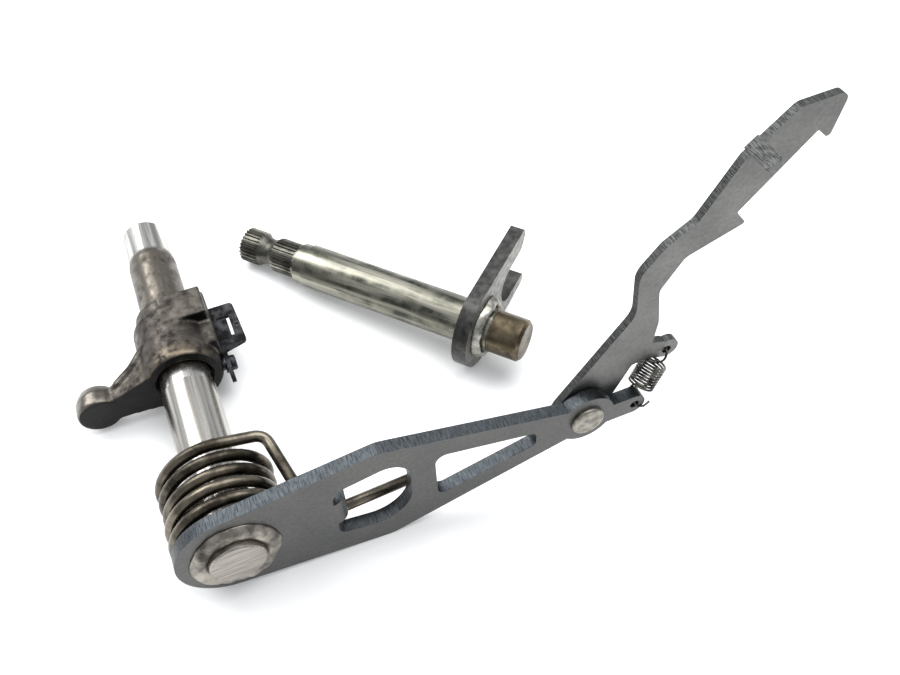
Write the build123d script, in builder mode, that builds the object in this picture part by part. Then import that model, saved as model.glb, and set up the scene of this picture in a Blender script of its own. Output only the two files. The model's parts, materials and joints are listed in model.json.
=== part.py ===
"""Inner gear shift linkage of a small motorcycle engine, in two assemblies as they lie on a bench:
the change lever with its claw, and the splined pedal spindle whose fork drives the lever's knob.

The row frame has +Z up from the bench, +X along the arm, and its origin on the pivot shaft's axis at
the middle of the far journal. Stations are distances along the pivot shaft, measured away from the
arm's front face, and along the spindle, measured from its splined end.
"""

import os
from math import acos, atan, atan2, cos, degrees, hypot, radians, sin, tan

from build123d import *

os.makedirs("parts", exist_ok=True)

# ---------------------------------------------------------------- driving sizes, millimetres
press_gap = 0.02        # between pieces that are pressed or welded together
running_gap = 0.05      # radial play of a pin in a hole that turns on it
seat_gap = 0.3          # between faces that slide past each other

# pivot shaft
shaft_radius = 7.0
shaft_head = 3.0        # how far the shaft stands out of the arm's front face
journal_radius = shaft_radius - 0.46
journal_length = 12.7
shaft_length = 120.7    # from the arm's front face to the far end
shaft_chamfer = 0.8
shaft_lead = 3.0        # length of the taper between the journal and the shaft

# arm plate
arm_thickness = 3.6
boss_radius = 14.5
belly_x = 38.0          # the plate is widest here, on a round of belly_radius
belly_offset = 10.9
belly_radius = 8.0
claw_pivot_x = 94.5
pivot_boss_radius = 8.0
neck_x = claw_pivot_x - 6.5
neck_radius = 6.0
arm_eye = (claw_pivot_x + 14.5, -1.6)
eye_hole_radius = 1.3
eye_edge = 2.8          # from an eye's centre to the edge that the spring pulls against
tail_radius = 3.4
window_left = 25.2
window_right = 45.2
window_left_half = 9.4
window_right_half = 13.0
window_round = 6.5      # at the upper right corner, and window_sweep at the lower right
window_sweep = 9.5
triangle_left = 51.9
triangle_right = neck_x - 8.2
triangle_left_half = 9.2
triangle_right_half = 2.6
triangle_shift = -0.2
tab_half_width = 4.4
tab_length = 6.5        # behind the arm's back

# weld bead on the shaft's head
weld_radius = shaft_radius + 4.4
weld_height = 2.4

# spring sleeve
sleeve_wall = 0.35
sleeve_start = arm_thickness + 0.4
sleeve_to_hub = 5.0

# return spring
coil_radius = 13.35     # to the middle of the wire
coil_wire = 3.0
coil_pitch = coil_wire + 0.87
spring_seat = 0.7       # from the arm's back to the first turn, so the leg clears the arm
coil_turns = 4.63
coil_start_angle = -65.0
leg_play = 1.0          # between a leg and the tab
leg_height = tab_half_width + leg_play + coil_wire / 2      # of each leg from the arm's axis
leg_end_x = 47.5
leg_bend = 3.6
far_run = 10.8          # how far the far leg runs on straight from the coil before it turns forward

# drive lever
hub_radius = shaft_radius + 3.7
hub_start = 57.0
hub_length = 20.0
collar_radius = shaft_radius + 2.2
collar_length = 5.0
counterbore_radius = shaft_radius + 1.2
counterbore_depth = 1.5
knob_x = -24.4
knob_up = -2.8
knob_radius = 5.8
knob_thickness = 8.0
lever_thickness = 7.5
lever_half_width = 4.6
pad_x = hub_radius + 0.5
sleeve_end = hub_start - sleeve_to_hub

# stop clip
sheet = 1.2
clip_x = pad_x + 0.6 + sheet / 2        # middle of the upright strip, 0.6 off the hub's pad
clip_start = hub_start - 0.6
clip_end = hub_start + hub_length + 3.4
clip_depth = 8.5
flange_reach = clip_x + 6.4
flange_start = clip_end - 17.0
flange_round = 1.4
slit_width = 0.8
slit_inset = 5.2        # from the flange's far edge to the slit across it
slit_length = 8.0
clip_hole_radius = 0.6
clip_pin_radius = 1.5
clip_shoulder_radius = 2.5
clip_head_height = 1.6
clip_pin_depth = 2.5    # how far it is pressed into the hub
clip_pin_station = hub_start + 2.8
clip_pin_up = -2.0

# claw
claw_thickness = 2.2
claw_eye = (24.4, 12.2)     # from the claw's pivot
claw_ear_radius = 3.2
lug_width = 3.9
lug_length = 6.4
lug_out = 0.7           # how far the lug's outer face stands outside the claw's edge
rivet_radius = 4.0
rivet_head_radius = rivet_radius + 0.7
rivet_head_height = 1.3
rivet_tail_radius = rivet_radius + 1.2
rivet_tail_height = 1.4

# claw spring
tension_wire = 0.66
tension_radius = 3.5        # to the middle of the wire
tension_pitch = tension_wire + 0.04
hook_radius = 2.8

# pedal spindle
spindle_radius = 6.75
spline_radius = 5.5
spline_root = 4.9
spline_teeth = 26
first_spline = 5.6
clamp_groove = 6.2
clamp_groove_radius = 4.2     # at its middle: the groove is a round one
second_spline = 7.4
seal_groove = 1.2
seal_groove_radius = 5.2
land_radius = spindle_radius - 0.45
land_length = 3.0
fork_thickness = 4.5
spindle_length = 97.0
end_journal_radius = spindle_radius - 0.35
end_journal_length = 10.0
fork_station = spindle_length - end_journal_length - 7.9
spindle_weld_length = 3.2
spindle_weld_radius = spindle_radius + 2.25
fork_boss_radius = 12.6
fork_reach = 30.2
knob_play = 0.1         # between the lever's knob and the fork's slot
fork_slot_half = knob_radius + knob_play
fork_slot_x = 18.6
fork_rise = 3.4             # degrees that the fork's arm stands up as the spindle lies
spindle_x = 30.7            # where the splined end lies, from the far journal
spindle_y = -6.1
spindle_heading = -49.0     # degrees from +X, seen from above

# ---------------------------------------------------------------- how the lever lies on the bench
# It rests on the last turn of the return spring, on the hub's far rim and on the arm's belly.
coil_first = arm_thickness + spring_seat + coil_wire / 2
coil_last = coil_first + (coil_turns - 0.5) * coil_pitch     # where the last turn touches the bench
coil_reach = coil_radius + coil_wire / 2
hub_end = hub_start + hub_length
shaft_slope = atan((coil_reach - hub_radius) / (hub_end - coil_last))
belly_reach = coil_reach + (coil_last - arm_thickness) * tan(shaft_slope)
arm_slope = acos((belly_reach - belly_radius) / hypot(belly_x, belly_offset)) - atan2(belly_x, belly_offset)

journal_station = shaft_length - journal_length / 2
journal_plane = Plane(
    origin=(0, 0, 0),
    x_dir=(cos(arm_slope), sin(arm_slope) * sin(shaft_slope), sin(arm_slope) * cos(shaft_slope)),
    z_dir=(0, -cos(shaft_slope), sin(shaft_slope)),
)
bench_height = (journal_station - hub_end) * sin(shaft_slope) - hub_radius * cos(shaft_slope)


def across_shaft(station):
    """Plane square to the pivot shaft: x along the arm, y up, facing the shaft's near end."""
    return journal_plane.offset(journal_station - station)


def place(x, up, station):
    """Point in the row frame from its place along the arm, above it and along the shaft."""
    return across_shaft(station).from_local_coords(Vector(x, up, 0))


def across_pivot(station):
    """The same plane with its origin on the claw's pivot."""
    return Plane(
        origin=place(claw_pivot_x, 0, station), x_dir=journal_plane.x_dir, z_dir=journal_plane.z_dir
    )


# ---------------------------------------------------------------- pivot shaft
with BuildPart() as pivot_shaft:
    with BuildSketch(across_shaft(shaft_length)):
        Circle(journal_radius)
    extrude(amount=journal_length)
    lead_station = shaft_length - journal_length - shaft_lead
    with BuildSketch(across_shaft(lead_station)):
        Circle(shaft_radius)
    extrude(amount=-shaft_lead, taper=degrees(atan((shaft_radius - journal_radius) / shaft_lead)))
    with BuildSketch(across_shaft(lead_station)):
        Circle(shaft_radius)
    extrude(amount=lead_station + shaft_head)
    ends = pivot_shaft.faces().filter_by(GeomType.PLANE).sort_by(Axis.Y)
    chamfer(ends[-1].edges(), shaft_chamfer)
    chamfer(ends[0].edges(), shaft_chamfer / 2)
pivot_shaft.part.label = "pivot_shaft"

# ---------------------------------------------------------------- arm plate
with BuildPart() as shift_arm:
    with BuildSketch(across_shaft(arm_thickness)):
        Circle(boss_radius)
        with Locations((belly_x, belly_offset), (belly_x, -belly_offset)):
            Circle(belly_radius)
        with Locations((neck_x, 0)):
            Circle(neck_radius)
        make_hull()
        with Locations((claw_pivot_x, 0)):
            Circle(pivot_boss_radius)
        tail_length = arm_eye[0] - claw_pivot_x
        with Locations((claw_pivot_x + tail_length / 2, arm_eye[1])):
            Rectangle(tail_length, 2 * tail_radius)
        eye_boss = (arm_eye[0] - (tail_radius - eye_edge) / 2, arm_eye[1])
        with Locations(eye_boss):
            Circle(tail_radius)
        # the window that the crankcase pin works in
        with BuildLine():
            FilletPolyline(
                (window_left, -window_left_half),
                (window_left, window_left_half),
                (window_right, window_right_half),
                (window_right, -window_right_half),
                radius=[2.5, 4.5, window_round, window_sweep],
                close=True,
            )
        make_face(mode=Mode.SUBTRACT)
        # the lightening window
        with BuildLine():
            FilletPolyline(
                (triangle_left, triangle_shift - triangle_left_half),
                (triangle_left, triangle_shift + triangle_left_half),
                (triangle_right, triangle_shift + triangle_right_half),
                (triangle_right, triangle_shift - triangle_right_half),
                radius=[2.4, 2.8, 1.9, 1.9],
                close=True,
            )
        make_face(mode=Mode.SUBTRACT)
        Circle(shaft_radius + press_gap, mode=Mode.SUBTRACT)
        with Locations((claw_pivot_x, 0)):
            Circle(rivet_radius + press_gap, mode=Mode.SUBTRACT)
        with Locations(arm_eye):
            Circle(eye_hole_radius, mode=Mode.SUBTRACT)
    extrude(amount=arm_thickness)
    # the tab, bent back out of the window's left edge between the spring's legs
    tab_plane = Plane(
        origin=place(window_left, -tab_half_width, 0), x_dir=journal_plane.x_dir, z_dir=journal_plane.y_dir
    )
    tab_back = arm_thickness + tab_length
    with BuildSketch(tab_plane):
        with BuildLine():
            Polyline((-arm_thickness / 2, 0), (0, 0))
            RadiusArc((0, 0), (arm_thickness, arm_thickness), -arm_thickness)
            Polyline(
                (arm_thickness, arm_thickness),
                (arm_thickness, tab_back),
                (0, tab_back),
                (0, arm_thickness),
                (-arm_thickness / 2, arm_thickness),
                (-arm_thickness / 2, 0),
            )
        make_face()
    extrude(amount=2 * tab_half_width)
    tab_end = shift_arm.faces().sort_by(Axis.Y)[-1]
    fillet(tab_end.edges().filter_by(Axis(place(0, 0, 0), journal_plane.x_dir)), 1.5)
shift_arm.part.label = "shift_arm"

# ---------------------------------------------------------------- weld bead on the shaft's head
with BuildPart() as shaft_weld:
    with BuildSketch(across_shaft(0)):
        Circle(weld_radius)
        Circle(shaft_radius + press_gap, mode=Mode.SUBTRACT)
    extrude(amount=weld_height)
    outer_rim = shaft_weld.faces().sort_by(Axis.Y)[0].edges().sort_by(SortBy.RADIUS)[-1]
    chamfer(outer_rim, weld_height * 0.8, 2.6)
shaft_weld.part.label = "shaft_weld"

# ---------------------------------------------------------------- spring sleeve
with BuildPart() as spring_sleeve:
    with BuildSketch(across_shaft(sleeve_end)):
        Circle(shaft_radius + press_gap + sleeve_wall)
        Circle(shaft_radius + press_gap, mode=Mode.SUBTRACT)
    extrude(amount=sleeve_end - sleeve_start)
spring_sleeve.part.label = "spring_sleeve"

# ---------------------------------------------------------------- return spring
coil_start = radians(coil_start_angle)
coil_plane = Plane(
    origin=place(0, 0, coil_first),
    x_dir=place(cos(coil_start), sin(coil_start), coil_first) - place(0, 0, coil_first),
    z_dir=-journal_plane.z_dir,
)
coil = coil_plane * Helix(pitch=coil_pitch, height=coil_pitch * coil_turns, radius=coil_radius)
near_end, near_way = coil @ 0, coil % 0
far_end, far_way = coil @ 1, coil % 1
with BuildPart() as return_spring:
    with BuildSketch(Plane(origin=near_end, z_dir=near_way)):
        Circle(coil_wire / 2)
    sweep(path=coil, is_frenet=True)
    # the near leg slants up to its height, then runs along the arm below the tab
    slant = (coil_radius * sin(-coil_start) - leg_height) / cos(coil_start)
    near_corner = near_end - near_way * slant
    leg_station = coil_first + 0.6
    with BuildLine() as near_leg:
        FilletPolyline(near_end, near_corner, place(leg_end_x, -leg_height, leg_station), radius=leg_bend)
    with BuildSketch(Plane(origin=near_end, z_dir=-near_way)):
        Circle(coil_wire / 2)
    sweep(path=near_leg.line)
    # the far leg runs on from the last turn, comes forward beside the coils and runs above the tab
    with BuildLine() as far_leg:
        FilletPolyline(
            far_end,
            far_end + far_way * far_run,
            place(coil_radius + 5.0, leg_height + 0.4, leg_station + 0.6),
            place(leg_end_x, leg_height, leg_station),
            radius=leg_bend,
        )
    with BuildSketch(Plane(origin=far_end, z_dir=far_way)):
        Circle(coil_wire / 2)
    sweep(path=far_leg.line)
return_spring.part.label = "return_spring"

# ---------------------------------------------------------------- drive lever
pin_root = hub_radius - clip_pin_depth
pin_plane = Plane(
    origin=place(pin_root, clip_pin_up, clip_pin_station),
    x_dir=journal_plane.z_dir,
    z_dir=journal_plane.x_dir,
)
clip_pin_length = clip_x - pin_root + sheet / 2 + 0.8
clip_shoulder_height = clip_x - sheet / 2 - pad_x - 2 * press_gap
lever_rear = hub_start + lever_thickness
with BuildPart() as drive_lever:
    with BuildSketch(across_shaft(hub_end)):
        Circle(hub_radius)
    extrude(amount=hub_length)
    with BuildSketch(across_shaft(hub_end + collar_length)):
        Circle(collar_radius)
    extrude(amount=collar_length)
    # a pad on the arm's side that carries the clip
    with BuildSketch(across_shaft(hub_end + collar_length)):
        with Locations((pad_x / 2, 0.5)):
            Rectangle(pad_x, 13)
    extrude(amount=hub_length + collar_length - 4)
    # the lever and its knob
    with BuildSketch(across_shaft(lever_rear)):
        with BuildLine():
            Polyline(
                (0, hub_radius * 0.75),
                (knob_x * 0.62, knob_up + lever_half_width + 1.6),
                (knob_x, knob_up + lever_half_width - 0.6),
                (knob_x, knob_up - lever_half_width + 0.6),
                (knob_x * 0.62, knob_up - lever_half_width + 0.4),
                (0, -hub_radius * 0.9),
                close=True,
            )
        make_face()
    extrude(amount=lever_thickness)
    # the rib that blends the lever's back into the hub
    with BuildSketch(across_shaft(hub_end - 3)):
        with Locations((-hub_radius / 2 - 1.2, knob_up + 1.5)):
            Rectangle(hub_radius, 2 * lever_half_width)
    extrude(amount=hub_length - 3)
    with BuildSketch(across_shaft(hub_start + knob_thickness)):
        with Locations((knob_x, knob_up)):
            Circle(knob_radius)
    extrude(amount=knob_thickness)
    with BuildSketch(across_shaft(hub_start)):
        Circle(shaft_radius + press_gap)
    extrude(amount=-(hub_length + collar_length), mode=Mode.SUBTRACT)
    with BuildSketch(across_shaft(hub_start)):
        Circle(counterbore_radius)
    extrude(amount=-counterbore_depth, mode=Mode.SUBTRACT)
    with BuildSketch(pin_plane):
        Circle(clip_pin_radius + press_gap)
    extrude(amount=clip_pin_length, mode=Mode.SUBTRACT)
drive_lever.part.label = "drive_lever"

# ---------------------------------------------------------------- stop clip and its pin
flange_plane = Plane(
    origin=place(clip_x, -sheet / 2, 0), x_dir=journal_plane.x_dir, z_dir=journal_plane.y_dir
)
slit_x = flange_reach - clip_x - 3.2
with BuildPart() as stop_clip:
    with BuildSketch(across_shaft(clip_end)):
        with Locations((clip_x, -clip_depth / 2 + sheet / 2)):
            Rectangle(sheet, clip_depth)
    extrude(amount=clip_end - clip_start)
    strip_ends = stop_clip.edges().filter_by(Axis(place(0, 0, 0), journal_plane.x_dir))
    fillet(strip_ends.sort_by(Axis.Z)[:2], 2.0)
    # the flange folded out at its top, drawn from above: x along the arm, y away along the shaft
    with BuildSketch(flange_plane):
        with BuildLine():
            FilletPolyline(
                (0, clip_end),
                (flange_reach - clip_x, clip_end),
                (flange_reach - clip_x + 0.6, flange_start + 1.0),
                (0, flange_start - 0.8),
                radius=[0.01, flange_round, flange_round, 0.01],
                close=True,
            )
        make_face()
        # the slit across it that turns along it, and the small hole
        with Locations((slit_x / 2 + sheet / 2, clip_end - slit_inset)):
            Rectangle(slit_x, slit_width, mode=Mode.SUBTRACT)
        with Locations((slit_x + sheet / 2, clip_end - slit_inset - (slit_length - slit_width) / 2)):
            Rectangle(slit_width, slit_length, mode=Mode.SUBTRACT)
        with Locations((slit_x + sheet / 2 + 1.8, clip_end - slit_inset - slit_length / 2)):
            Circle(clip_hole_radius, mode=Mode.SUBTRACT)
    extrude(amount=sheet)
    with BuildSketch(pin_plane):
        Circle(clip_pin_radius + press_gap)
    extrude(amount=clip_pin_length, mode=Mode.SUBTRACT)
stop_clip.part.label = "stop_clip"

with BuildPart() as clip_pin:
    with BuildSketch(pin_plane):
        Circle(clip_pin_radius)
    extrude(amount=clip_pin_length)
    # the shoulder that the strip sits on, and the head outside it
    shoulder_end = clip_x - sheet / 2 - press_gap
    with BuildSketch(pin_plane.offset(shoulder_end - pin_root)):
        Circle(clip_shoulder_radius)
    extrude(amount=-clip_shoulder_height)
    with BuildSketch(pin_plane.offset(clip_x + sheet / 2 + press_gap - pin_root)):
        Circle(clip_shoulder_radius - 0.3)
    extrude(amount=clip_head_height)
    fillet(clip_pin.faces().sort_by(Axis.X)[-1].edges(), 0.6)
clip_pin.part.label = "clip_pin"

# ---------------------------------------------------------------- claw
claw_front = arm_thickness + seat_gap
claw_rear = claw_front + claw_thickness
# corners of the blank from the pivot, each with its round: up the outside, round the two hooks, back
claw_corners = [
    ((-6.3, 5.0), 0.1),
    ((13.0, 30.6), 7.0),
    ((12.1, 44.4), 6.0),
    ((18.0, 51.5), 4.0),
    ((25.4, 56.2), 4.0),
    ((34.4, 71.2), 3.0),
    ((45.8, 80.9), 3.0),
    ((58.2, 81.3), 2.2),
    ((56.1, 69.2), 0.9),
    ((52.5, 72.9), 0.6),
    ((35.9, 55.3), 0.6),
    ((39.2, 51.1), 0.7),
    ((24.0, 45.9), 4.0),
    ((18.5, 37.0), 3.0),
    ((20.2, 25.0), 6.0),
    ((19.5, 17.2), 1.0),
    ((claw_eye[0] - 0.4, claw_eye[1] + 3.6), 1.6),
    ((claw_eye[0] - 1.2, claw_eye[1] - 2.6), 0.6),
    ((18.6, 11.4), 1.0),
    ((14.3, 10.8), 1.2),
    ((9.2, 0.0), 0.1),
    ((0.0, 0.0), 0.1),
]
lug_inset = lug_out - claw_thickness / 2
lug_from, lug_to = Vector(*claw_corners[5][0]), Vector(*claw_corners[6][0])
lug_turn = degrees(atan2(lug_to.Y - lug_from.Y, lug_to.X - lug_from.X))
lug_way = (lug_to - lug_from).normalized()
lug_middle = lug_from + lug_way * (lug_width / 2 + 1.2) + Vector(0, 0, 1).cross(lug_way) * lug_inset
eye_pull = Vector(arm_eye[0] - claw_pivot_x - claw_eye[0], arm_eye[1] - claw_eye[1]).normalized()
with BuildPart() as claw:
    with BuildSketch(across_pivot(claw_rear)):
        with BuildLine():
            FilletPolyline(
                *[corner for corner, _ in claw_corners],
                radius=[round_off for _, round_off in claw_corners],
                close=True,
            )
        make_face()
        Circle(pivot_boss_radius)
        with Locations(Vector(*claw_eye) - eye_pull * (claw_ear_radius - eye_edge)):
            Circle(claw_ear_radius)
        Circle(rivet_radius + running_gap, mode=Mode.SUBTRACT)
        with Locations(claw_eye):
            Circle(eye_hole_radius, mode=Mode.SUBTRACT)
    extrude(amount=claw_thickness)
    # the guide lug, bent forward from the outer edge just past the fifth corner
    with BuildSketch(across_pivot(claw_rear)):
        with Locations(lug_middle):
            Rectangle(lug_width, claw_thickness, rotation=lug_turn)
    extrude(amount=claw_thickness + lug_length)
    lug_end = claw.faces().sort_by(Axis.Y)[0]
    lug_across = across_pivot(0).from_local_coords(Vector(-lug_way.Y, lug_way.X, 0)) - across_pivot(0).origin
    fillet(lug_end.edges().filter_by(Axis(across_pivot(0).origin, lug_across)), 1.2)
claw.part.label = "claw"

# ---------------------------------------------------------------- rivet
with BuildPart() as claw_rivet:
    with BuildSketch(across_pivot(claw_rear + seat_gap / 2)):
        Circle(rivet_radius)
    extrude(amount=claw_rear + seat_gap / 2)
    with BuildSketch(across_pivot(0)):
        Circle(rivet_head_radius)
    extrude(amount=rivet_head_height)
    fillet(claw_rivet.faces().sort_by(Axis.Y)[0].edges(), 0.9)
    with BuildSketch(across_pivot(claw_rear + seat_gap / 2 + rivet_tail_height)):
        Circle(rivet_tail_radius)
    extrude(amount=rivet_tail_height)
    fillet(claw_rivet.faces().sort_by(Axis.Y)[-1].edges(), 0.6)
claw_rivet.part.label = "claw_rivet"

# ---------------------------------------------------------------- claw spring
arm_anchor = place(arm_eye[0], arm_eye[1], arm_thickness / 2)
claw_anchor = place(claw_pivot_x + claw_eye[0], claw_eye[1], (claw_front + claw_rear) / 2)
pull_way = (claw_anchor - arm_anchor).normalized()
hook_span = 2 * hook_radius
body_length = (claw_anchor - arm_anchor).length - 2 * hook_span
body_plane = Plane(
    origin=arm_anchor + pull_way * hook_span,
    x_dir=journal_plane.z_dir - pull_way * journal_plane.z_dir.dot(pull_way),
    z_dir=pull_way,
)
body_turns = round(body_length / tension_pitch)
body = body_plane * Helix(pitch=body_length / body_turns, height=body_length, radius=tension_radius)
with BuildPart() as claw_spring:
    with BuildSketch(Plane(origin=body @ 0, z_dir=body % 0)):
        Circle(tension_wire / 2)
    sweep(path=body, is_frenet=True)
    # each end turns in to the spring's axis and a ring round the eye
    for turn_end, eye, outward in ((body @ 0, arm_anchor, -pull_way), (body @ 1, claw_anchor, pull_way)):
        ring_centre = eye - outward * hook_radius
        ring_root = eye - outward * hook_span
        ring_across = (journal_plane.z_dir - outward * journal_plane.z_dir.dot(outward)).normalized()
        with BuildSketch(Plane(origin=turn_end, z_dir=ring_root - turn_end)):
            Circle(tension_wire / 2)
        extrude(amount=(ring_root - turn_end).length)
        with BuildSketch(Plane(origin=ring_root, z_dir=ring_across)):
            Circle(tension_wire / 2)
        revolve(axis=Axis(ring_centre, ring_across.cross(outward)))
claw_spring.part.label = "claw_spring"

# ---------------------------------------------------------------- pedal spindle
spline_end = first_spline + clamp_groove + second_spline
body_start = spline_end + seal_groove + land_length
spindle_lift = atan((fork_boss_radius - spline_radius) / fork_station)
heading = radians(spindle_heading)
spindle_way = Vector(
    cos(heading) * cos(spindle_lift), sin(heading) * cos(spindle_lift), sin(spindle_lift)
)
spindle_end = Vector(spindle_x, spindle_y, bench_height + spline_radius * cos(spindle_lift))
spindle_side = Vector(0, 0, 1).cross(spindle_way).normalized()


def across_spindle(station, turn=0.0):
    """Plane square to the spindle, x level with the bench and then turned up, facing the end journal."""
    x_dir = spindle_side.rotate(Axis((0, 0, 0), spindle_way), turn)
    return Plane(origin=spindle_end + spindle_way * station, x_dir=x_dir, z_dir=spindle_way)


with BuildPart() as spindle_shaft:
    with BuildSketch(across_spindle(0)):
        Circle(spline_root)
        with PolarLocations(0, spline_teeth):
            with Locations(((spline_root + spline_radius) / 2 - 0.1, 0)):
                Trapezoid(0.9, spline_radius - spline_root + 0.2, 68, rotation=-90)
    extrude(amount=spline_end)
    groove_depth = spline_radius - clamp_groove_radius
    groove_round = (clamp_groove ** 2 / 4 + groove_depth ** 2) / (2 * groove_depth)
    groove_middle = spindle_end + spindle_way * (first_spline + clamp_groove / 2)
    with BuildSketch(Plane(origin=groove_middle, x_dir=spindle_side, z_dir=spindle_side.cross(spindle_way))):
        with Locations((clamp_groove_radius + groove_round, 0)):
            Circle(groove_round)
    revolve(axis=Axis(spindle_end, spindle_way), mode=Mode.SUBTRACT)
    with BuildSketch(across_spindle(spline_end)):
        Circle(seal_groove_radius)
    extrude(amount=seal_groove)
    with BuildSketch(across_spindle(spline_end + seal_groove)):
        Circle(land_radius)
    extrude(amount=land_length)
    with BuildSketch(across_spindle(body_start)):
        Circle(spindle_radius)
    extrude(amount=spindle_length - end_journal_length - body_start)
    with BuildSketch(across_spindle(spindle_length - end_journal_length)):
        Circle(end_journal_radius)
    extrude(amount=end_journal_length)
    far_face = spindle_shaft.faces().filter_by(GeomType.PLANE).sort_by(Axis((0, 0, 0), spindle_way))[-1]
    chamfer(far_face.edges(), 0.9)
spindle_shaft.part.label = "spindle_shaft"

# corners of the fork's arm from the spindle's axis: along the long tine, round the slot, back
fork_corners = [
    ((0, fork_boss_radius), 0.1),
    ((fork_reach, fork_boss_radius), 0.8),
    ((fork_reach + 0.6, fork_boss_radius - 2.8), 0.8),
    ((fork_reach - 2.6, fork_slot_half + 0.2), 2.0),
    ((fork_slot_x, fork_slot_half), 0.1),
    ((fork_slot_x, -fork_slot_half), 0.1),
    ((fork_reach - 1.4, -fork_slot_half), 1.0),
    ((fork_reach - 1.0, -fork_slot_half - 3.6), 2.2),
    ((fork_boss_radius * 0.6, -fork_boss_radius * 0.78), 0.1),
]
with BuildPart() as spindle_fork:
    with BuildSketch(across_spindle(fork_station, fork_rise)):
        Circle(fork_boss_radius)
        with BuildLine():
            FilletPolyline(
                *[corner for corner, _ in fork_corners],
                radius=[round_off for _, round_off in fork_corners],
                close=True,
            )
        make_face()
        with Locations((fork_slot_x, 0)):
            Circle(fork_slot_half, mode=Mode.SUBTRACT)
        Circle(spindle_radius + press_gap, mode=Mode.SUBTRACT)
    extrude(amount=fork_thickness)
spindle_fork.part.label = "spindle_fork"

with BuildPart() as spindle_weld:
    with BuildSketch(across_spindle(fork_station + fork_thickness)):
        Circle(spindle_weld_radius)
        Circle(spindle_radius + press_gap, mode=Mode.SUBTRACT)
    extrude(amount=spindle_weld_length)
spindle_weld.part.label = "spindle_weld"

# ---------------------------------------------------------------- files
pieces = [
    pivot_shaft, shift_arm, shaft_weld, spring_sleeve, return_spring, drive_lever, stop_clip,
    clip_pin, claw, claw_rivet, claw_spring, spindle_shaft, spindle_fork, spindle_weld,
]
for piece in pieces:
    export_step(piece.part, f"parts/{piece.part.label}.step")
    print(piece.part.label, round(piece.part.volume, 1), piece.part.bounding_box())
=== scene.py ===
"""Looks of a small motorcycle's inner gear shift linkage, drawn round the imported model.

Two assemblies lie on the bench: the change lever with its claw, and the splined pedal spindle.
Sizes are in millimetres until place() or along_spindle() turns them into the frame's metres.
"""
import json
from math import cos, pi, radians, sin, tan, tau

import bmesh
import bpy
from mathutils import Matrix, Vector, noise


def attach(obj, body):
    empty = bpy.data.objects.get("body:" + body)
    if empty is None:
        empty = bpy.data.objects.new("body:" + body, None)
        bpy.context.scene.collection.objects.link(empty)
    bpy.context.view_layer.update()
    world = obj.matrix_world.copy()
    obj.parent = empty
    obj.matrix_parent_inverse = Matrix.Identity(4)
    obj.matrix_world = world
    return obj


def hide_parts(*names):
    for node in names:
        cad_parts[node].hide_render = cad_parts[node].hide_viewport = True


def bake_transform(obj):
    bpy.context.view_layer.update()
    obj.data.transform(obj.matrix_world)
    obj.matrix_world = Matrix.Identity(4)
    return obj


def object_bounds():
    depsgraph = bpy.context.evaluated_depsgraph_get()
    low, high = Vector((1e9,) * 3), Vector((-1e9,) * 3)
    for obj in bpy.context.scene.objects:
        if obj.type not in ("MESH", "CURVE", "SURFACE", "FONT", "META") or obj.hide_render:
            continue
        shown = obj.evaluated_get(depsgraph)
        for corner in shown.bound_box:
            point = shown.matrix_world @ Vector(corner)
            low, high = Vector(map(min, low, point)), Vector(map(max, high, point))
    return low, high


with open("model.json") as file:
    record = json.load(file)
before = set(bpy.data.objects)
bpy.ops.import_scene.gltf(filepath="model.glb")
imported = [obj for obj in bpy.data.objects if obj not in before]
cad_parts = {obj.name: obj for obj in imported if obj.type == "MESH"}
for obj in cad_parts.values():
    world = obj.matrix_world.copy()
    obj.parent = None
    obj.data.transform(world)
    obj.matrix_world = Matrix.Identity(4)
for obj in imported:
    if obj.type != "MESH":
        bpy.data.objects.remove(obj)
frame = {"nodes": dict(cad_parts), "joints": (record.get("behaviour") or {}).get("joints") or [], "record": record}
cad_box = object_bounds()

MM = 0.001
nodes = frame["nodes"]
mounts = {mount["name"]: mount for mount in frame["record"]["mounts"]}
joints = {joint["name"]: joint for joint in frame["joints"]}

# ---------------------------------------------------------------- the two assemblies' own directions
JOURNAL_STATION = 114.35    # the frame's origin, counted along the pivot shaft from the arm's front
toward = -Vector(mounts["pivot_journal"]["axis"]).normalized()
claw_pivot = Vector(joints["claw_swing"]["pos_m"])
along = (claw_pivot - toward * claw_pivot.dot(toward)).normalized()
upward = toward.cross(along)

SPINDLE_JOINT_STATION = 50.0
spindle_way = Vector(joints["spindle_turn"]["axis"]).normalized()
spindle_start = Vector(joints["spindle_turn"]["pos_m"]) - spindle_way * SPINDLE_JOINT_STATION * MM
spindle_side = Vector((0, 0, 1)).cross(spindle_way).normalized()


def place(x, up, station):
    """Point in the frame from its place along the arm, above it and along the pivot shaft."""
    return (along * x + upward * up + toward * (JOURNAL_STATION - station)) * MM


def along_spindle(station):
    """Point on the spindle's axis, counted from its splined end."""
    return spindle_start + spindle_way * station * MM


def turned_to(across, up, axis, origin):
    """Matrix that takes millimetres along three directions to the frame's metres."""
    turn = Matrix((across, up, axis)).transposed().to_4x4()
    return Matrix.Translation(origin) @ turn @ Matrix.Scale(MM, 4)


shaft_space = turned_to(along, upward, toward, Vector((0, 0, 0)))
spindle_space = turned_to(spindle_side, spindle_way.cross(spindle_side), spindle_way, spindle_start)


# ---------------------------------------------------------------- pieces
def add_piece(name, mesh, body, slot, material, *stands_for):
    """Puts a finished mesh in the scene, on its body, in place of the CAD nodes it stands for."""
    piece = bpy.data.objects.new(name, mesh)
    bpy.context.scene.collection.objects.link(piece)
    mesh.materials.append(material)
    for polygon in mesh.polygons:
        polygon.use_smooth = True
    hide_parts(*stands_for)
    if body:
        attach(piece, body)
    return piece


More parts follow.
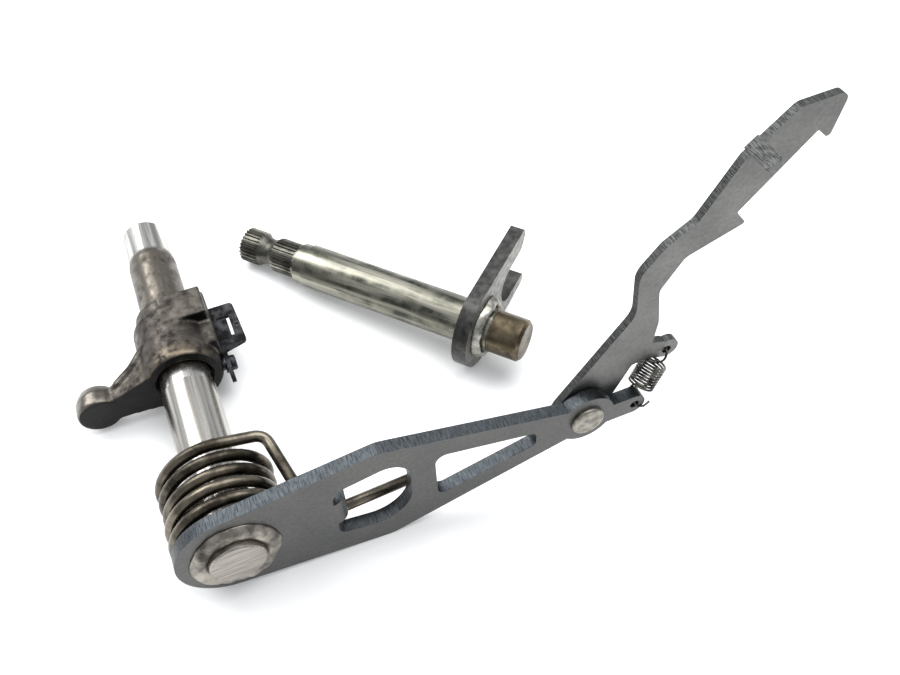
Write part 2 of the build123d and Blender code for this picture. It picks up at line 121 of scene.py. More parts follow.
def soften(name, width):
    """Breaks the sharp edges of a CAD node by a small round, as tumbling and use do."""
    weld = nodes[name].modifiers.new("weld", "WELD")
    weld.merge_threshold = 0.002 * MM
    bevel = nodes[name].modifiers.new("edges", "BEVEL")
    bevel.width = width * MM
    bevel.segments = 2
    bevel.limit_method = "ANGLE"
    bevel.angle_limit = radians(32)
    nodes[name].modifiers.new("normals", "WEIGHTED_NORMAL")


def dress(name, material, width=0.0):
    """Gives a CAD node its finish, and softened edges where a width is given."""
    nodes[name].material_slots[0].material = material
    if width:
        soften(name, width)


def tube(name, path, radius, sides=16):
    """Mesh of a round wire along a path in metres, its two ends dressed to a slight dome."""
    wire = bmesh.new()
    path = [path[0] + (path[0] - path[1]).normalized() * 0.02 * radius] + path
    path = path + [path[-1] + (path[-1] - path[-2]).normalized() * 0.02 * radius]
    ways = [(path[1] - path[0]).normalized()]
    ways += [(after - before).normalized() for before, after in zip(path, path[2:])]
    ways += [(path[-1] - path[-2]).normalized()]
    across = ways[0].orthogonal().normalized()
    rings = []
    for index, (point, way) in enumerate(zip(path, ways)):
        across = (across - way * across.dot(way)).normalized()
        beside = way.cross(across)
        size = radius * (0.82 if index in (0, len(path) - 1) else 1.0)
        ring = []
        for side in range(sides):
            angle = tau * side / sides
            ring.append(wire.verts.new(point + (across * cos(angle) + beside * sin(angle)) * size))
        rings.append(ring)
    for ring, following in zip(rings, rings[1:]):
        for side in range(sides):
            other = (side + 1) % sides
            wire.faces.new((ring[side], ring[other], following[other], following[side]))
    wire.faces.new(reversed(rings[0]))
    wire.faces.new(rings[-1])
    mesh = bpy.data.meshes.new(name)
    wire.to_mesh(mesh)
    wire.free()
    return mesh


def round_corners(corners, bend, steps=8):
    """The corners as one line whose bends are rounded, for wire bent round a former."""
    path = [corners[0]]
    for before, corner, after in zip(corners, corners[1:], corners[2:]):
        back = (before - corner).normalized()
        onward = (after - corner).normalized()
        reach = bend * MM / tan(back.angle(onward) / 2)
        start, end = corner + back * reach, corner + onward * reach
        for step in range(steps + 1):
            part = step / steps
            path.append(start.lerp(corner, part).lerp(corner.lerp(end, part), part))
    path.append(corners[-1])
    return path


def ring_bead(name, origin, axis, inner, outer, height, lump, seed):
    """Mesh of a hand-laid weld bead: a ring whose height and width wander, on a flat underside."""
    across = axis.orthogonal().normalized()
    beside = axis.cross(across)
    around, rows = 180, 18
    bead = bmesh.new()
    rings = []
    for turn in range(around):
        angle = tau * turn / around
        way = across * cos(angle) + beside * sin(angle)
        wander = Vector((cos(angle), sin(angle), seed))
        wide = outer * (1 + 0.09 * noise.noise(wander * 1.3) + 0.015 * noise.noise(wander * 5))
        high = height * (0.84 + 0.22 * noise.noise(wander * 2.1))
        ring = [bead.verts.new(origin + way * inner * MM)]
        for row in range(rows + 1):
            part = row / rows
            rise = sin(pi * (0.14 + 0.86 * part)) ** 0.75 if part < 1 else 0.0
            spot = way * (inner + (wide - inner) * part) + axis * seed
            rough = (noise.noise(spot * 0.5) + 0.3 * noise.noise(spot * 1.6)) * lump * part
            lift = max(high * rise + rough * rise, 0.0)
            out = inner + (wide - inner) * part
            ring.append(bead.verts.new(origin + (way * out + axis * lift) * MM))
        rings.append(ring)
    for index, ring in enumerate(rings):
        following = rings[(index + 1) % around]
        count = len(ring)
        for row in range(count):
            other = (row + 1) % count
            bead.faces.new((ring[row], following[row], following[other], ring[other]))
    bmesh.ops.recalc_face_normals(bead, faces=bead.faces)
    mesh = bpy.data.meshes.new(name)
    bead.to_mesh(mesh)
    bead.free()
    return mesh


# ---------------------------------------------------------------- return spring
COIL_RADIUS = 13.35     # to the middle of the wire
COIL_WIRE_RADIUS = 1.5
COIL_FIRST = 5.8        # station where the coil starts
COIL_PITCH = 3.87
COIL_TURNS = 4.63
COIL_START = -65.0      # degrees up from the arm's direction
COIL_STEPS = 40         # points in each turn
# how much nearer the arm than an even helix the wire lies, by turn
LAID_CLOSER = ((0.0, 0.0), (0.32, 1.5), (1.0, 0.78), (2.6, 0.72), (3.6, 0.5), (4.7, 0.3))
LEG_HEIGHT = 6.9
LEG_END = 47.5
LEG_STATION = 6.4
LEG_BEND = 3.6
FAR_RUN = 10.8          # how far the far leg runs on from the coil before it turns in


def coil_point(turn):
    """Point on the middle of the wire; the first turn lies nearly flat against the arm."""
    angle = radians(COIL_START - 360 * turn)
    for (start, low), (stop, high) in zip(LAID_CLOSER, LAID_CLOSER[1:]):
        if start <= turn <= stop + 0.001:
            part = (1 - cos(pi * (turn - start) / (stop - start))) / 2
            closer = low + (high - low) * part
            break
    wider = 0.2 * sin(1.9 * turn) - 0.25
    station = COIL_FIRST + COIL_PITCH * turn - closer
    return place((COIL_RADIUS + wider) * cos(angle), (COIL_RADIUS + wider) * sin(angle), station)


def return_spring_path():
    """From the near leg's end, back to the coil, round it and out along the far leg."""
    steps = round(COIL_TURNS * COIL_STEPS)
    coil = [coil_point(COIL_TURNS * step / steps) for step in range(steps + 1)]
    near_way = (coil[0] - coil[1]).normalized()
    rise = (LEG_HEIGHT + coil[0].dot(upward) / MM) / near_way.dot(upward)
    near_corner = coil[0] - near_way * rise * MM
    near_leg = round_corners([place(LEG_END, -LEG_HEIGHT, LEG_STATION), near_corner, coil[0]], LEG_BEND)
    far_way = (coil[-1] - coil[-2]).normalized()
    far_corner = coil[-1] + far_way * FAR_RUN * MM
    turn_in = place(18.4, LEG_HEIGHT + 0.4, LEG_STATION + 0.6)
    far_end = place(LEG_END, LEG_HEIGHT, LEG_STATION)
    far_leg = round_corners([coil[-1], far_corner, turn_in, far_end], LEG_BEND)
    return near_leg[:-1] + coil + far_leg[1:]


# ---------------------------------------------------------------- claw spring
ARM_EYE = place(109.0, -1.6, 1.8)
CLAW_EYE = place(118.9, 12.2, 5.0)
TENSION_RADIUS = 3.4
TENSION_WIRE_RADIUS = 0.32
TENSION_TURNS = 10
HOOK_RADIUS = 2.25


def hook(eye, outward, sweep, side):
    """Ring of wire that goes through an eye, from the spring's axis round to its free end.

    The side is 1 where the ring starts round the plate's front, and -1 where it starts behind it.
    """
    across = (toward - outward * toward.dot(outward)).normalized() * side
    centre = eye - outward * HOOK_RADIUS * MM
    steps = 28
    ring = []
    for step in range(steps + 1):
        angle = radians(sweep) * step / steps
        ring.append(centre + (across * sin(angle) - outward * cos(angle)) * HOOK_RADIUS * MM)
    return ring


def claw_spring_path():
    """Hook, body that opens out from the axis and closes in again, hook."""
    pull = (CLAW_EYE - ARM_EYE).normalized()
    start = ARM_EYE + pull * 2 * HOOK_RADIUS * MM
    length = (CLAW_EYE - ARM_EYE).length - 4 * HOOK_RADIUS * MM
    across = (toward - pull * toward.dot(pull)).normalized()
    beside = pull.cross(across)
    steps = TENSION_TURNS * 24
    body = []
    for step in range(1, steps):
        part = step / steps
        from_end = min(part, 1 - part) * TENSION_TURNS
        open_out = sin(pi / 2 * min(from_end / 0.45, 1.0))
        angle = tau * TENSION_TURNS * part
        ring = (across * cos(angle) + beside * sin(angle)) * TENSION_RADIUS * open_out * MM
        body.append(start + pull * length * part + ring)
    lower = hook(ARM_EYE, -pull, 205, -1)
    # its free end comes out of the eye at the front and curls away along the arm: millimetres from
    # the eye along the arm, up, and towards the front
    tail = [(0.9, -1.5, 1.9), (2.7, -1.7, 2.3), (4.4, -0.6, 2.2)]
    lower += [ARM_EYE + (along * x + upward * up + toward * out) * MM for x, up, out in tail]
    return lower[::-1] + body + hook(CLAW_EYE, pull, 320, 1)


# ---------------------------------------------------------------- drive lever
HUB_START = 57.0
BORE_RADIUS = 7.05
COUNTERBORE_RADIUS = 8.2
COUNTERBORE_DEPTH = 1.5
KNOB_X = -24.4
KNOB_UP = -2.8
FLASH_RADIUS = 0.75     # of the flash line's ridge
FLASH_HALF = 0.8        # half its width along the shaft


def lump(forging, points):
    """Adds the convex lump round some (x, up, station) points."""
    corners = [forging.verts.new((x, up, JOURNAL_STATION - station)) for x, up, station in points]
    bmesh.ops.convex_hull(forging, input=corners)


def disc(x, up, radius, station, sides=48):
    """Points of a circle square to the pivot shaft."""
    turns = [tau * side / sides for side in range(sides)]
    return [(x + radius * cos(turn), up + radius * sin(turn), station) for turn in turns]


def slab(x_low, x_high, up_low, up_high, near, far):
    """The eight corners of a block."""
    return [(x, up, s) for x in (x_low, x_high) for up in (up_low, up_high) for s in (near, far)]


def forging_mesh():
    """The lever as it leaves the dies: its lumps run together with large fillets."""
    forging = bmesh.new()
    # hub and collar
    lump(forging, disc(0, 0, 10.5, 57.2) + disc(0, 0, 10.9, 58.5) + disc(0, 0, 10.7, 77.0))
    lump(forging, disc(0, 0, 9.2, 74.0) + disc(0, 0, 9.2, 82.0))
    # pad that carries the clip, and the flat-topped block above it
    lump(forging, slab(0, 11.8, -6, 7, 61.5, 82))
    lump(forging, slab(-0.9, 11.3, 3, 10.8, 70.2, 80.8))
    # lever, thinning from its root at the hub to its end at the knob
    root = slab(-4, -3, -8.2, 7.8, 57.1, 74)
    middle = slab(-14, -13, -6.9, 3.6, 57.1, 64.8)
    end = slab(-20, -19, -6.6, 1.6, 57.1, 62.4)
    lump(forging, root + middle)
    lump(forging, middle + end)
    # knob: radius and station of each ring round it, flat at the front and domed at the back
    knob = []
    for radius, station in ((5.7, 57.0), (6.0, 58.2), (5.95, 61.4), (4.9, 64.2), (2.6, 65.6)):
        knob += disc(KNOB_X, KNOB_UP, radius, station)
    lump(forging, knob)
    neck = disc(KNOB_X + 1, KNOB_UP, 4.4, 57.3) + disc(KNOB_X + 1, KNOB_UP, 3.4, 63.0)
    lump(forging, end + neck)
    # flash line where the dies met, down the lever's back from the block
    ridge = [
        (-1.5, 9.3, 72.6),
        (-4.6, 8.2, 71.0),
        (-9.2, 5.7, 67.4),
        (-13.0, 4.0, 64.2),
        (-18.0, 2.4, 61.6),
    ]
    for start, stop in zip(ridge, ridge[1:]):
        run = []
        for x, up, station in (start, stop):
            run += disc(x, up, FLASH_RADIUS, station - FLASH_HALF, 12)
            run += disc(x, up, FLASH_RADIUS, station + FLASH_HALF, 12)
        lump(forging, run)
    mesh = bpy.data.meshes.new("forging")
    forging.to_mesh(mesh)
    forging.free()
    return mesh


def bore_meshes():
    """What the machining takes out: the bore, and the counterbore at its mouth."""
    start = HUB_START - 3
    cuts = (
        ("bore", BORE_RADIUS, HUB_START + 30),
        ("mouth", COUNTERBORE_RADIUS, HUB_START + COUNTERBORE_DEPTH),
    )
    meshes = []
    for name, radius, end in cuts:
        cutter = bmesh.new()
        lump(cutter, disc(0, 0, radius, start, 96) + disc(0, 0, radius, end, 96))
        mesh = bpy.data.meshes.new(name)
        cutter.to_mesh(mesh)
        cutter.free()
        meshes.append(mesh)
    return meshes


def drive_lever_mesh():
    """Forging run together by a fine remesh, bored, and brought to the shaft's place."""
    rough = bpy.data.objects.new("forging", forging_mesh())
    bpy.context.scene.collection.objects.link(rough)
    remesh = rough.modifiers.new("run together", "REMESH")
    remesh.mode = "VOXEL"
    remesh.voxel_size = 0.36
    smooth = rough.modifiers.new("die fillets", "SMOOTH")
    smooth.factor = 0.5
    smooth.iterations = 9
    tools = []
    for mesh in bore_meshes():
        tool = bpy.data.objects.new(mesh.name, mesh)
        bpy.context.scene.collection.objects.link(tool)
        tools.append(tool)
        cut = rough.modifiers.new(mesh.name, "BOOLEAN")
        cut.operation = "DIFFERENCE"
        cut.object = tool
        cut.solver = "EXACT"
    bpy.context.view_layer.update()
    graph = bpy.context.evaluated_depsgraph_get()
    mesh = bpy.data.meshes.new_from_object(rough.evaluated_get(graph))
    for helper in [rough] + tools:
        bpy.data.objects.remove(helper)
    mesh.transform(shaft_space)
    mesh.materials.clear()
    return mesh


# ---------------------------------------------------------------- materials
def linear(code):
    """sRGB hex to the linear colour a shader takes."""
    channels = [int(code[start:start + 2], 16) / 255 for start in (1, 3, 5)]
    return [c / 12.92 if c <= 0.04045 else ((c + 0.055) / 1.055) ** 2.4 for c in channels] + [1.0]


def add(tree, kind, inputs=(), **settings):
    """Adds a node, sets it and its inputs, and links each input that is given as a socket."""
    made = tree.nodes.new(kind)
    for name, value in settings.items():
        setattr(made, name, value)
    for key, value in dict(inputs).items():
        if isinstance(value, bpy.types.NodeSocket):
            tree.links.new(value, made.inputs[key])
        else:
            made.inputs[key].default_value = value
    return made.outputs


def start_material(name, metallic, roughness):
    """A new material with its tree and its shader."""
    material = bpy.data.materials.new(name)
    material.use_nodes = True
    shader = material.node_tree.nodes["Principled BSDF"]
    shader.inputs["Metallic"].default_value = metallic
    shader.inputs["Roughness"].default_value = roughness
    return material, material.node_tree, shader


def surface_place(tree, space):
    """Coordinates in millimetres along an assembly's own directions, its shaft along Z."""
    back = space.inverted()
    turn = back.to_3x3().normalized().to_euler()
    where = add(tree, "ShaderNodeTexCoord")
    return add(tree, "ShaderNodeMapping", {
        "Vector": where["Object"], "Location": back.translation, "Rotation": turn,
        "Scale": (1 / MM, 1 / MM, 1 / MM)})[0]


def sheet_steel(name, face, patch, edge, edge_dark):
    """Cold-rolled steel sheet, blanked, then blackened by heat and oil.

    The rolled faces are an even satin with faint clouds. The blanked edge is torn: cooler in colour,
    and scored through the thickness by the press tool.
    """
    material, tree, shader = start_material(name, 1.0, 0.4)
    spot = surface_place(tree, shaft_space)
    clouds = add(tree, "ShaderNodeTexNoise", {
        "Vector": spot, "Scale": 1 / 14, "Detail": 5.0, "Roughness": 0.6})
    specks = add(tree, "ShaderNodeTexNoise", {"Vector": spot, "Scale": 1 / 0.9, "Detail": 3.0})
    normal = add(tree, "ShaderNodeTexCoord")["Normal"]
    facing = add(tree, "ShaderNodeVectorMath", {0: normal, 1: toward}, operation="DOT_PRODUCT")["Value"]
    flat = add(tree, "ShaderNodeMath", {0: facing}, operation="ABSOLUTE")[0]
    on_edge = add(tree, "ShaderNodeMapRange", {"Value": flat, "From Min": 0.9, "From Max": 0.5})[0]
    tone = add(tree, "ShaderNodeMapRange", {
        "Value": clouds["Fac"], "From Min": 0.38, "From Max": 0.66})[0]
    grain = add(tree, "ShaderNodeMapRange", {
        "Value": specks["Fac"], "From Min": 0.3, "From Max": 0.7, "To Min": 0.86, "To Max": 1.12})[0]
    faced = add(tree, "ShaderNodeMix", {0: tone, 6: linear(face), 7: linear(patch)}, data_type="RGBA")[2]
    # the tool's scores run through the thickness, about 0.25 mm apart
    stretched = add(tree, "ShaderNodeMapping", {"Vector": spot, "Scale": (1.0, 1.0, 0.12)})[0]
    scores = add(tree, "ShaderNodeTexNoise", {
        "Vector": stretched, "Scale": 1 / 0.25, "Detail": 4.0})["Fac"]
    torn = add(tree, "ShaderNodeMapRange", {"Value": scores, "From Min": 0.35, "From Max": 0.65})[0]
    edged = add(tree, "ShaderNodeMix", {
        0: torn, 6: linear(edge_dark), 7: linear(edge)}, data_type="RGBA")[2]
    both = add(tree, "ShaderNodeMix", {0: on_edge, 6: faced, 7: edged}, data_type="RGBA")[2]
    colour = add(tree, "ShaderNodeVectorMath", {0: both, "Scale": grain}, operation="SCALE")[0]
    tree.links.new(colour, shader.inputs["Base Color"])
    face_rough = add(tree, "ShaderNodeMapRange", {
        "Value": clouds["Fac"], "From Min": 0.3, "From Max": 0.7, "To Min": 0.34, "To Max": 0.46})[0]
    rough = add(tree, "ShaderNodeMix", {0: on_edge, 2: face_rough, 3: 0.42}, data_type="FLOAT")[0]
    tree.links.new(rough, shader.inputs["Roughness"])
    fine = add(tree, "ShaderNodeBump", {
        "Height": specks["Fac"], "Strength": 0.12, "Distance": 0.05 * MM})[0]
    score_depth = add(tree, "ShaderNodeMath", {0: scores, 1: on_edge}, operation="MULTIPLY")[0]
    bump = add(tree, "ShaderNodeBump", {
        "Height": score_depth, "Normal": fine, "Strength": 0.5, "Distance": 0.25 * MM})[0]
    tree.links.new(bump, shader.inputs["Normal"])
    return material


def ground_shaft():
    """Case-hardened round steel, ground on the journal and under the sleeve, oil-stained between.

    Grinding leaves hairlines round it; use has polished streaks along it and baked oil brown.
    """
    material, tree, shader = start_material("case_hardened_steel_shaft", 1.0, 0.3)
    spot = surface_place(tree, shaft_space)
    depth = add(tree, "ShaderNodeSeparateXYZ", {0: spot})["Z"]
    lengthwise = add(tree, "ShaderNodeMapping", {"Vector": spot, "Scale": (1.0, 1.0, 0.05)})[0]
    streaks = add(tree, "ShaderNodeTexNoise", {
        "Vector": lengthwise, "Scale": 1 / 1.6, "Detail": 4.0})["Fac"]
    stains = add(tree, "ShaderNodeTexNoise", {
        "Vector": spot, "Scale": 1 / 5, "Detail": 6.0, "Roughness": 0.65})["Fac"]
    tight = add(tree, "ShaderNodeMapping", {"Vector": spot, "Scale": (0.05, 0.05, 1.0)})[0]
    hairlines = add(tree, "ShaderNodeTexNoise", {
        "Vector": tight, "Scale": 1 / 0.35, "Detail": 2.0})["Fac"]
    # the bright journal starts 6.35 mm on the arm's side of the frame's origin
    journal = add(tree, "ShaderNodeMapRange", {"Value": depth, "From Min": 7.6, "From Max": 6.0})[0]
    head = add(tree, "ShaderNodeMapRange", {"Value": depth, "From Min": 113.6, "From Max": 114.2})[0]
    # the ground part runs on from the sleeve to the hub's mouth, 57 mm from the arm
    ground = add(tree, "ShaderNodeMapRange", {"Value": depth, "From Min": 56.4, "From Max": 57.6})[0]
    bright_parts = add(tree, "ShaderNodeMath", {
        0: journal, 1: ground}, operation="MAXIMUM", use_clamp=True)[0]
    streak = add(tree, "ShaderNodeMapRange", {"Value": streaks, "From Min": 0.4, "From Max": 0.62})[0]
    bright = add(tree, "ShaderNodeMix", {
        0: streak, 6: linear("#9a9792"), 7: linear("#e6e4e0")}, data_type="RGBA")[2]
    stain = add(tree, "ShaderNodeMapRange", {"Value": stains, "From Min": 0.4, "From Max": 0.62})[0]
    brown = add(tree, "ShaderNodeMix", {
        0: stain, 6: linear("#3f3b37"), 7: linear("#827b71")}, data_type="RGBA")[2]
    worn = add(tree, "ShaderNodeMix", {0: streak, 6: brown, 7: linear("#625d57")}, data_type="RGBA")[2]
    turned = add(tree, "ShaderNodeMix", {0: bright_parts, 6: worn, 7: bright}, data_type="RGBA")[2]
    # the head was filed flat after welding: straight scratches about 0.4 mm apart
    filed = add(tree, "ShaderNodeMapping", {
        "Vector": spot, "Rotation": (0.0, 0.0, radians(52)), "Scale": (0.06, 1.0, 1.0)})[0]
    scratches = add(tree, "ShaderNodeTexNoise", {"Vector": filed, "Scale": 1 / 0.4, "Detail": 3.0})["Fac"]
    scratch = add(tree, "ShaderNodeMapRange", {"Value": scratches, "From Min": 0.38, "From Max": 0.62})[0]
    face = add(tree, "ShaderNodeMix", {
        0: scratch, 6: linear("#8b857f"), 7: linear("#aaa39c")}, data_type="RGBA")[2]
    # the far end is faced on the lathe, plain and grey
    normal = add(tree, "ShaderNodeTexCoord")["Normal"]
    facing = add(tree, "ShaderNodeVectorMath", {0: normal, 1: toward}, operation="DOT_PRODUCT")["Value"]
    far_end = add(tree, "ShaderNodeMapRange", {"Value": facing, "From Min": -0.8, "From Max": -0.95})[0]
    ended = add(tree, "ShaderNodeMix", {0: far_end, 6: turned, 7: linear("#a8a5a0")}, data_type="RGBA")[2]
    colour = add(tree, "ShaderNodeMix", {0: head, 6: ended, 7: face}, data_type="RGBA")[2]
    tree.links.new(colour, shader.inputs["Base Color"])
    rough_brown = add(tree, "ShaderNodeMapRange", {
        "Value": stains, "From Min": 0.35, "From Max": 0.65, "To Min": 0.5, "To Max": 0.3})[0]
    rough_bright = add(tree, "ShaderNodeMapRange", {
        "Value": streaks, "From Min": 0.3, "From Max": 0.7, "To Min": 0.3, "To Max": 0.2})[0]
    round_rough = add(tree, "ShaderNodeMix", {
        0: bright_parts, 2: rough_brown, 3: rough_bright}, data_type="FLOAT")[0]
    rough = add(tree, "ShaderNodeMix", {0: head, 2: round_rough, 3: 0.4}, data_type="FLOAT")[0]
    tree.links.new(rough, shader.inputs["Roughness"])
    relief = add(tree, "ShaderNodeMix", {0: head, 2: hairlines, 3: scratches}, data_type="FLOAT")[0]
    bump = add(tree, "ShaderNodeBump", {"Height": relief, "Strength": 0.15, "Distance": 0.04 * MM})[0]
    tree.links.new(bump, shader.inputs["Normal"])
    return material


def polished_sleeve():
    """Thin drawn steel sleeve, rubbed bright by the spring, with scratches along it."""
    material, tree, shader = start_material("drawn_steel_sleeve", 1.0, 0.24)
    spot = surface_place(tree, shaft_space)
    lengthwise = add(tree, "ShaderNodeMapping", {"Vector": spot, "Scale": (1.0, 1.0, 0.03)})[0]
    streaks = add(tree, "ShaderNodeTexNoise", {
        "Vector": lengthwise, "Scale": 1 / 1.1, "Detail": 4.0})["Fac"]
    streak = add(tree, "ShaderNodeMapRange", {"Value": streaks, "From Min": 0.38, "From Max": 0.64})[0]
    colour = add(tree, "ShaderNodeMix", {
        0: streak, 6: linear("#827e78"), 7: linear("#c9c6c0")}, data_type="RGBA")[2]
    tree.links.new(colour, shader.inputs["Base Color"])
    rough = add(tree, "ShaderNodeMapRange", {
        "Value": streaks, "From Min": 0.3, "From Max": 0.7, "To Min": 0.32, "To Max": 0.16})[0]
    tree.links.new(rough, shader.inputs["Roughness"])
    bump = add(tree, "ShaderNodeBump", {"Height": streaks, "Strength": 0.12, "Distance": 0.03 * MM})[0]
    tree.links.new(bump, shader.inputs["Normal"])
    return material


def spring_wire(name, dark, light, patch_size):
    """Oil-tempered spring steel wire: a brown-black film, rubbed in places."""
    material, tree, shader = start_material(name, 1.0, 0.32)
    spot = surface_place(tree, shaft_space)
    clouds = add(tree, "ShaderNodeTexNoise", {
        "Vector": spot, "Scale": 1 / patch_size, "Detail": 5.0, "Roughness": 0.6})["Fac"]
    pits = add(tree, "ShaderNodeTexNoise", {"Vector": spot, "Scale": 1 / 0.5, "Detail": 3.0})["Fac"]
    rubbed = add(tree, "ShaderNodeMapRange", {"Value": clouds, "From Min": 0.4, "From Max": 0.64})[0]
    colour = add(tree, "ShaderNodeMix", {
        0: rubbed, 6: linear(dark), 7: linear(light)}, data_type="RGBA")[2]
    tree.links.new(colour, shader.inputs["Base Color"])
    rough = add(tree, "ShaderNodeMapRange", {
        "Value": clouds, "From Min": 0.3, "From Max": 0.7, "To Min": 0.4, "To Max": 0.24})[0]
    tree.links.new(rough, shader.inputs["Roughness"])
    bump = add(tree, "ShaderNodeBump", {"Height": pits, "Strength": 0.15, "Distance": 0.05 * MM})[0]
    tree.links.new(bump, shader.inputs["Normal"])
    return material


def forged_steel():
    """Drop-forged carbon steel: scaled and pitted skin, dark with oil, its knob rubbed bright and the top of its
    hub near the mouth bronze-bright in patches.
    """
    material, tree, shader = start_material("drop_forged_steel", 1.0, 0.45)
    spot = surface_place(tree, shaft_space)
    scale = add(tree, "ShaderNodeTexNoise", {
        "Vector": spot, "Scale": 1 / 3.2, "Detail": 7.0, "Roughness": 0.62})["Fac"]
    clouds = add(tree, "ShaderNodeTexNoise", {"Vector": spot, "Scale": 1 / 11, "Detail": 4.0})["Fac"]
    pits = add(tree, "ShaderNodeTexVoronoi", {"Vector": spot, "Scale": 1 / 1.3})["Distance"]
    split = add(tree, "ShaderNodeSeparateXYZ", {0: spot})
    tone = add(tree, "ShaderNodeMapRange", {"Value": scale, "From Min": 0.36, "From Max": 0.66})[0]
    skin = add(tree, "ShaderNodeMix", {
        0: tone, 6: linear("#2d2a28"), 7: linear("#625d57")}, data_type="RGBA")[2]
    # the knob, from 19 mm out along the lever
    knob = add(tree, "ShaderNodeMapRange", {"Value": split["X"], "From Min": -19.0, "From Max": -24.0})[0]
    polish = add(tree, "ShaderNodeMath", {0: knob, 1: clouds}, operation="MULTIPLY", use_clamp=True)[0]
    rubbed = add(tree, "ShaderNodeMix", {0: polish, 6: skin, 7: linear("#8f8981")}, data_type="RGBA")[2]
    # a bronze-bright band, in patches, across the top of the front third of the hub, chosen by height
    band = add(tree, "ShaderNodeMapRange", {"Value": split["Z"], "From Min": 50.0, "From Max": 56.0})[0]
    above = add(tree, "ShaderNodeMapRange", {"Value": split["Y"], "From Min": 4.0, "From Max": 9.5})[0]
    hub_top_spot = add(tree, "ShaderNodeMath", {0: band, 1: above}, operation="MULTIPLY")[0]
    hub_top_part = add(tree, "ShaderNodeMath", {
        0: hub_top_spot, 1: tone}, operation="MULTIPLY", use_clamp=True)[0]
    worn = add(tree, "ShaderNodeMix", {
        0: hub_top_part, 6: rubbed, 7: linear("#74695a")}, data_type="RGBA")[2]
    # the face on the arm's side keeps its black scale
    normal = add(tree, "ShaderNodeTexCoord")["Normal"]
    facing = add(tree, "ShaderNodeVectorMath", {0: normal, 1: toward}, operation="DOT_PRODUCT")["Value"]
    front = add(tree, "ShaderNodeMapRange", {"Value": facing, "From Min": 0.8, "From Max": 0.96})[0]
    colour = add(tree, "ShaderNodeMix", {0: front, 6: worn, 7: linear("#262626")}, data_type="RGBA")[2]
    tree.links.new(colour, shader.inputs["Base Color"])
    skin_rough = add(tree, "ShaderNodeMapRange", {
        "Value": scale, "From Min": 0.3, "From Max": 0.7, "To Min": 0.55, "To Max": 0.34})[0]
    rough = add(tree, "ShaderNodeMix", {0: knob, 2: skin_rough, 3: 0.27}, data_type="FLOAT")[0]
    tree.links.new(rough, shader.inputs["Roughness"])
    wavy = add(tree, "ShaderNodeBump", {"Height": scale, "Strength": 0.35, "Distance": 0.35 * MM})[0]
    bump = add(tree, "ShaderNodeBump", {
        "Height": pits, "Normal": wavy, "Strength": 0.12, "Distance": 0.15 * MM})[0]
    tree.links.new(bump, shader.inputs["Normal"])
    return material


def weld_metal(name, dark, light, patch_size):
    """Deposited weld steel: ripples about 1 mm apart, silvery with grey scale in the hollows."""
    material, tree, shader = start_material(name, 1.0, 0.38)
    spot = surface_place(tree, shaft_space)
    clouds = add(tree, "ShaderNodeTexNoise", {
        "Vector": spot, "Scale": 1 / patch_size, "Detail": 6.0, "Roughness": 0.6})["Fac"]
    ripples = add(tree, "ShaderNodeTexNoise", {
        "Vector": spot, "Scale": 1 / 1.0, "Detail": 3.0, "Distortion": 0.6})["Fac"]
    tone = add(tree, "ShaderNodeMapRange", {"Value": clouds, "From Min": 0.36, "From Max": 0.64})[0]
    colour = add(tree, "ShaderNodeMix", {0: tone, 6: linear(dark), 7: linear(light)}, data_type="RGBA")[2]
    tree.links.new(colour, shader.inputs["Base Color"])
    rough = add(tree, "ShaderNodeMapRange", {
        "Value": clouds, "From Min": 0.3, "From Max": 0.7, "To Min": 0.5, "To Max": 0.28})[0]
    tree.links.new(rough, shader.inputs["Roughness"])
    bump = add(tree, "ShaderNodeBump", {"Height": ripples, "Strength": 0.3, "Distance": 0.3 * MM})[0]
    tree.links.new(bump, shader.inputs["Normal"])
    return material


def rivet_steel():
    """Soft rivet steel, its formed head rubbed to a warm silver with small bruises."""
    material, tree, shader = start_material("rivet_steel", 1.0, 0.36)
    spot = surface_place(tree, shaft_space)
    clouds = add(tree, "ShaderNodeTexNoise", {"Vector": spot, "Scale": 1 / 2.0, "Detail": 5.0})["Fac"]
    tone = add(tree, "ShaderNodeMapRange", {"Value": clouds, "From Min": 0.36, "From Max": 0.64})[0]
    colour = add(tree, "ShaderNodeMix", {
        0: tone, 6: linear("#716d65"), 7: linear("#a39e94")}, data_type="RGBA")[2]
    tree.links.new(colour, shader.inputs["Base Color"])
    bump = add(tree, "ShaderNodeBump", {"Height": clouds, "Strength": 0.3, "Distance": 0.15 * MM})[0]
    tree.links.new(bump, shader.inputs["Normal"])
    return material


def blued_clip_steel(name, dark, light):
    """Hardened spring strip, blued nearly black, with a faint sheen on its rubbed corners."""
    material, tree, shader = start_material(name, 1.0, 0.36)
    spot = surface_place(tree, shaft_space)
    clouds = add(tree, "ShaderNodeTexNoise", {"Vector": spot, "Scale": 1 / 3.0, "Detail": 5.0})["Fac"]
    tone = add(tree, "ShaderNodeMapRange", {"Value": clouds, "From Min": 0.4, "From Max": 0.66})[0]
    colour = add(tree, "ShaderNodeMix", {0: tone, 6: linear(dark), 7: linear(light)}, data_type="RGBA")[2]
    tree.links.new(colour, shader.inputs["Base Color"])
    bump = add(tree, "ShaderNodeBump", {"Height": clouds, "Strength": 0.15, "Distance": 0.1 * MM})[0]
    tree.links.new(bump, shader.inputs["Normal"])
    return material


